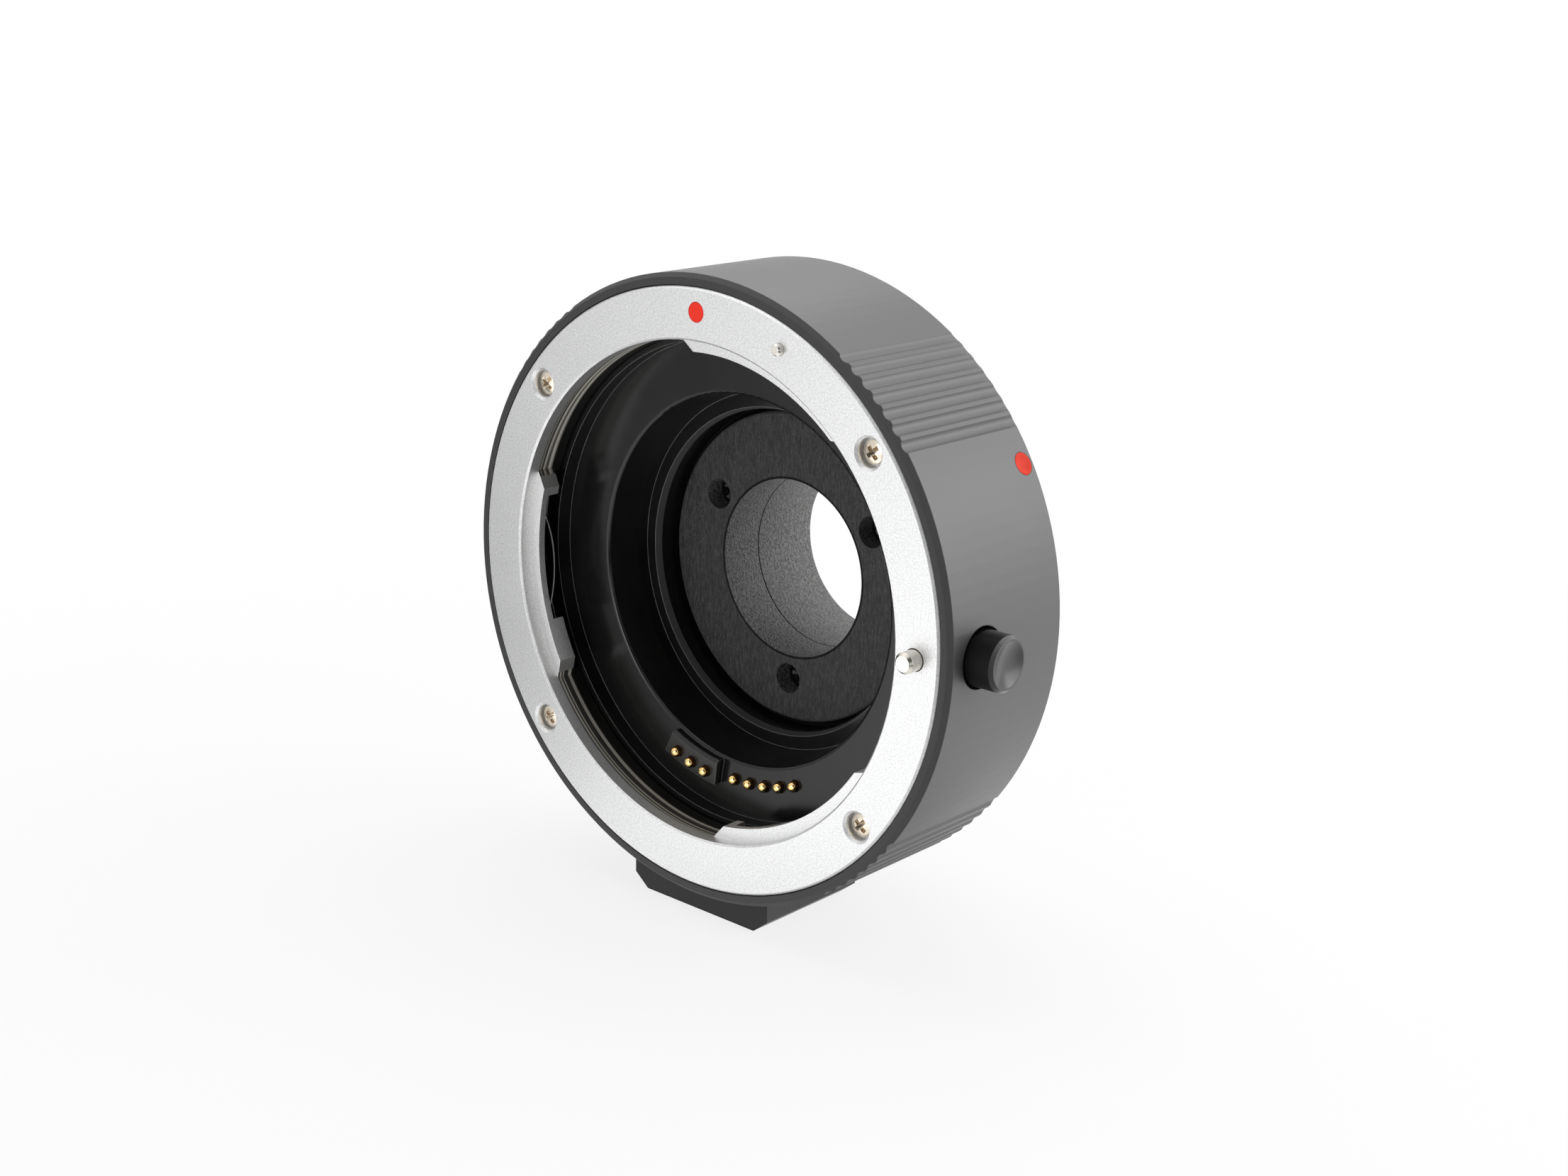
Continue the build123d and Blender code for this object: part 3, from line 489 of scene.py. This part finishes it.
gold = gold_plate("contact_gold")
brass = small_metal("turned_brass", (0.50, 0.35, 0.14), (0.78, 0.60, 0.30), 0.28)
ring_red = index_red("index_red_ring", (0.94, 0.036, 0.021), (1.0, 0.052, 0.031))
barrel_red = index_red("index_red_barrel", (0.56, 0.024, 0.009), (0.70, 0.040, 0.016))
green = board_green("board_green")
chip = dull_film("chip_black", grey(0.012), grey(0.030), 0.5)
amber = dull_film("amber_film", (0.40, 0.17, 0.02), (0.60, 0.30, 0.05), 0.25)

finishes = {
    "barrel": barrel_black, "tripod_foot": foot_black, "release_button": button_black,
    "lens_mount_ring": lens_ring, "lens_mount_screws": screw_nickel, "leaf_springs": strip_steel,
    "ring_stop_pin": pin_steel, "lock_pin": pin_steel, "lock_spring": spring_steel,
    "lens_index_dot": ring_red, "camera_index_dot": barrel_red,
    "inner_liner": liner_black, "liner_screws": screw_black, "pin_sleeves": brass,
    "circuit_board": green, "controller_chip": chip, "flex_cable": amber,
    "front_baffle": baffle_black, "rear_baffle": baffle_black, "baffle_screws": screw_black,
    "rear_housing": housing_black, "rear_screws": screw_black,
    "camera_mount_ring": camera_ring, "camera_mount_screws": screw_nickel,
    "rear_contact_block": liner_black, "rear_contact_pads": gold,
    "tripod_bush": brass, "foot_screws": screw_black,
}
for number in CONTACTS:
    finishes[f"contact_pin_{number}"] = gold
    finishes[f"pin_spring_{number}"] = spring_steel
for name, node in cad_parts.items():
    node.data.materials.clear()
    node.data.materials.append(finishes[name])


def add_object(name, data):
    made = bpy.data.objects.new(name, data)
    bpy.context.scene.collection.objects.link(made)
    return made


# Coil springs: wire with closed ends, which take the place of the CAD springs
COIL_TURNS = 6.0
COIL_STEPS = 28
WIRE_SIDES = 10
CLOSED_END = 0.09
PIN_WIRE_R = 0.08 * MM
LOCK_WIRE_R = 0.15 * MM


def wire_line(start, length, mean_r):
    count = int(COIL_TURNS * COIL_STEPS)
    points = []
    for i in range(count + 1):
        share = i / count
        rise = min(max((share - CLOSED_END) / (1 - 2 * CLOSED_END), 0.0), 1.0)
        angle = 2 * pi * COIL_TURNS * share
        points.append(start + Vector((mean_r * cos(angle), length * rise, mean_r * sin(angle))))
    return points


def wire_mesh(name, points, middle, wire_r):
    verts = []
    for i, point in enumerate(points):
        along = (points[min(i + 1, len(points) - 1)] - points[max(i - 1, 0)]).normalized()
        outward = Vector((point.x - middle.x, 0.0, point.z - middle.z)).normalized()
        side = along.cross(outward).normalized()
        out = side.cross(along)
        for k in range(WIRE_SIDES):
            turn = 2 * pi * k / WIRE_SIDES
            verts.append(point + wire_r * (cos(turn) * out + sin(turn) * side))
    faces = []
    for i in range(len(points) - 1):
        for k in range(WIRE_SIDES):
            a = i * WIRE_SIDES + k
            b = i * WIRE_SIDES + (k + 1) % WIRE_SIDES
            faces.append((a, b, b + WIRE_SIDES, a + WIRE_SIDES))
    faces.append(tuple(reversed(range(WIRE_SIDES))))
    faces.append(tuple(range(len(verts) - WIRE_SIDES, len(verts))))
    mesh = bpy.data.meshes.new(name)
    mesh.from_pydata(verts, [], faces)
    mesh.polygons.foreach_set("use_smooth", [len(face) == 4 for face in faces])
    return mesh


def add_coil(name, wire_r):
    low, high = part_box(name)
    middle = (low + high) / 2
    length = high.y - low.y
    mean_r = (high.z - low.z) / 2 - wire_r
    start = Vector((middle.x, low.y + wire_r, middle.z))
    points = wire_line(start, length - 2 * wire_r, mean_r)
    piece = add_object(name + "_coil", wire_mesh(name + "_coil", points, middle, wire_r))
    piece.data.materials.append(spring_steel)
    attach(piece, BODY)
    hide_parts(name)
    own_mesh(piece)


for number in CONTACTS:
    add_coil(f"pin_spring_{number}", PIN_WIRE_R)
add_coil("lock_spring", LOCK_WIRE_R)


# Studio: a pale floor that keeps the shadow, cards, softboxes and the camera
FLOOR_SIDE = 12.0
FLOOR_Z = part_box("tripod_foot")[0].z
FLOOR_NEAR, FLOOR_FAR = 0.04, 0.20
FLOOR_NEAR_GLOW = 0.82
WORLD_LIGHT = 0.20
CAMERA_PLACE = (0.15356, -0.16041, 0.06672)
CAMERA_RIGHT = (0.7470, 0.6645, 0.0209)
CAMERA_BACK = (0.6329, -0.7205, 0.2832)
SENSOR_MM = 36.0
LENS_MM = 50.78
NEAREST_SEEN = 0.005


def flat_sheet(name, width, length, finish, z=0.0):
    a, b = width / 2, length / 2
    mesh = bpy.data.meshes.new(name)
    mesh.from_pydata([(-a, -b, z), (a, -b, z), (a, b, z), (-a, b, z)], [], [(0, 1, 2, 3)])
    mesh.materials.append(finish)
    return add_object(name, mesh)


def floor_finish():
    f = Finish("pale_floor")
    x, y, _ = f.axes(f.place)
    away = ((x * x + y * y) ** 0.5).step(FLOOR_NEAR, FLOOR_FAR)
    f.set(Base_Color=f.mix(f.noise(30.0), grey(0.80), grey(0.83)), Roughness=0.8)
    white = f.seen() * (FLOOR_NEAR_GLOW + (1 - FLOOR_NEAR_GLOW) * away)
    return f.layer(white, f.lit(), f.glow(1.0))


def add_floor():
    floor = flat_sheet("studio_floor", FLOOR_SIDE, FLOOR_SIDE, floor_finish(), FLOOR_Z)


# A card's front: a glow, or black against glare, that fades out towards its sides
def card_finish(name, glow, soft):
    f = Finish(name)
    u, v, _ = f.axes(f.node("ShaderNodeTexCoord", {}, {})["Generated"])
    front = 1 - f.node("ShaderNodeNewGeometry", {}, {})["Backfacing"]
    inside = front * u.band(soft, 1 - soft, soft) * v.band(soft, 1 - soft, soft)
    f.set(Base_Color=(0.01, 0.01, 0.01, 1.0), Roughness=0.9, Specular_IOR_Level=0.0)
    clear = f.node("ShaderNodeBsdfTransparent", {}, {})[0]
    return f.layer(inside, clear, f.glow(glow) if glow > 0.0 else f.lit())


def add_card(name, place, turn, width, height, glow=0.0, soft=0.25):
    card = flat_sheet(name, width, height, card_finish(name, glow, soft))
    card.location = place
    card.rotation_euler = turn
    card.visible_camera = False
    card.visible_shadow = False


# A card on the floor: its length runs away from the optical axis at an angle, and it may lie aside
def floor_card(name, angle, start, aside, length, width, lift, glow=0.0, soft=0.25):
    along = Vector((cos(radians(angle)), sin(radians(angle)), 0.0))
    across = Vector((-along.y, along.x, 0.0))
    middle = along * (start + length / 2) + across * aside + Vector((0.0, 0.0, FLOOR_Z + lift))
    add_card(name, middle, (0.0, 0.0, radians(angle)), length, width, glow, soft)


# White where it is seen, and a low even light
def add_world():
    world = bpy.data.worlds.new("studio")
    bpy.context.scene.world = world
    world.use_nodes = True
    sky = Nodes(world.node_tree)
    level = WORLD_LIGHT + (1 - WORLD_LIGHT) * sky.seen()
    sky.feed(sky.tree.nodes["Background"], {"Color": WHITE, "Strength": level})


def add_softbox(name, place, aim, width, height, watts):
    lamp = bpy.data.lights.new(name, "AREA")
    lamp.shape = "RECTANGLE"
    lamp.size = width
    lamp.size_y = height
    lamp.energy = watts
    box = add_object(name, lamp)
    box.location = place
    box.rotation_euler = (Vector(aim) - Vector(place)).to_track_quat("-Z", "Y").to_euler()
    box.visible_camera = False


# Camera at the photograph's place; the right, up and back directions are those of its picture
def add_camera():
    back = Vector(CAMERA_BACK).normalized()
    up = back.cross(Vector(CAMERA_RIGHT)).normalized()
    turn = Matrix((up.cross(back), up, back)).transposed().to_4x4()
    lens = bpy.data.cameras.new("camera")
    lens.sensor_width = SENSOR_MM
    lens.lens = LENS_MM
    lens.clip_start = NEAREST_SEEN
    camera = add_object("camera", lens)
    camera.matrix_world = Matrix.Translation(CAMERA_PLACE) @ turn
    bpy.context.scene.camera = camera


add_floor()
add_world()
floor_card("front_bounce", angle=-117.0, start=-0.03, aside=0.01, length=0.42, width=0.22, lift=0.2 * MM, glow=2.05)
floor_card("left_flag", angle=-132.0, start=0.0, aside=-0.185, length=0.70, width=0.40, lift=0.4 * MM,
           glow=0.05, soft=0.1)
floor_card("back_bounce", angle=90.0, start=0.016, aside=-0.13, length=0.26, width=0.32, lift=0.2 * MM,
           glow=1.6, soft=0.1)
floor_card("front_flag", angle=-38.0, start=0.04, aside=0.0, length=0.40, width=0.30, lift=0.6 * MM)
add_card("tall_flag", place=(0.34, -0.46, 0.36), turn=(radians(90.0), 0.0, radians(216.0)), width=0.76, height=0.78)
add_softbox("front", place=(0.02, -0.46, 0.04), aim=(0.01, 0.0, 0.0), width=0.26, height=0.20, watts=0.7)
add_softbox("back_top", place=(0.22, 0.34, 0.30), aim=(0.02, 0.01, 0.0), width=0.56, height=0.50, watts=1.25)
add_softbox("right_side", place=(0.46, 0.22, 0.10), aim=(0.02, 0.01, 0.0), width=0.50, height=0.50, watts=2.2)
add_softbox("top", place=(-0.16, 0.10, 0.42), aim=(0.0, 0.0, 0.0), width=0.50, height=0.50, watts=1.7)
add_camera()
bpy.context.scene.view_settings.view_transform = "Standard"
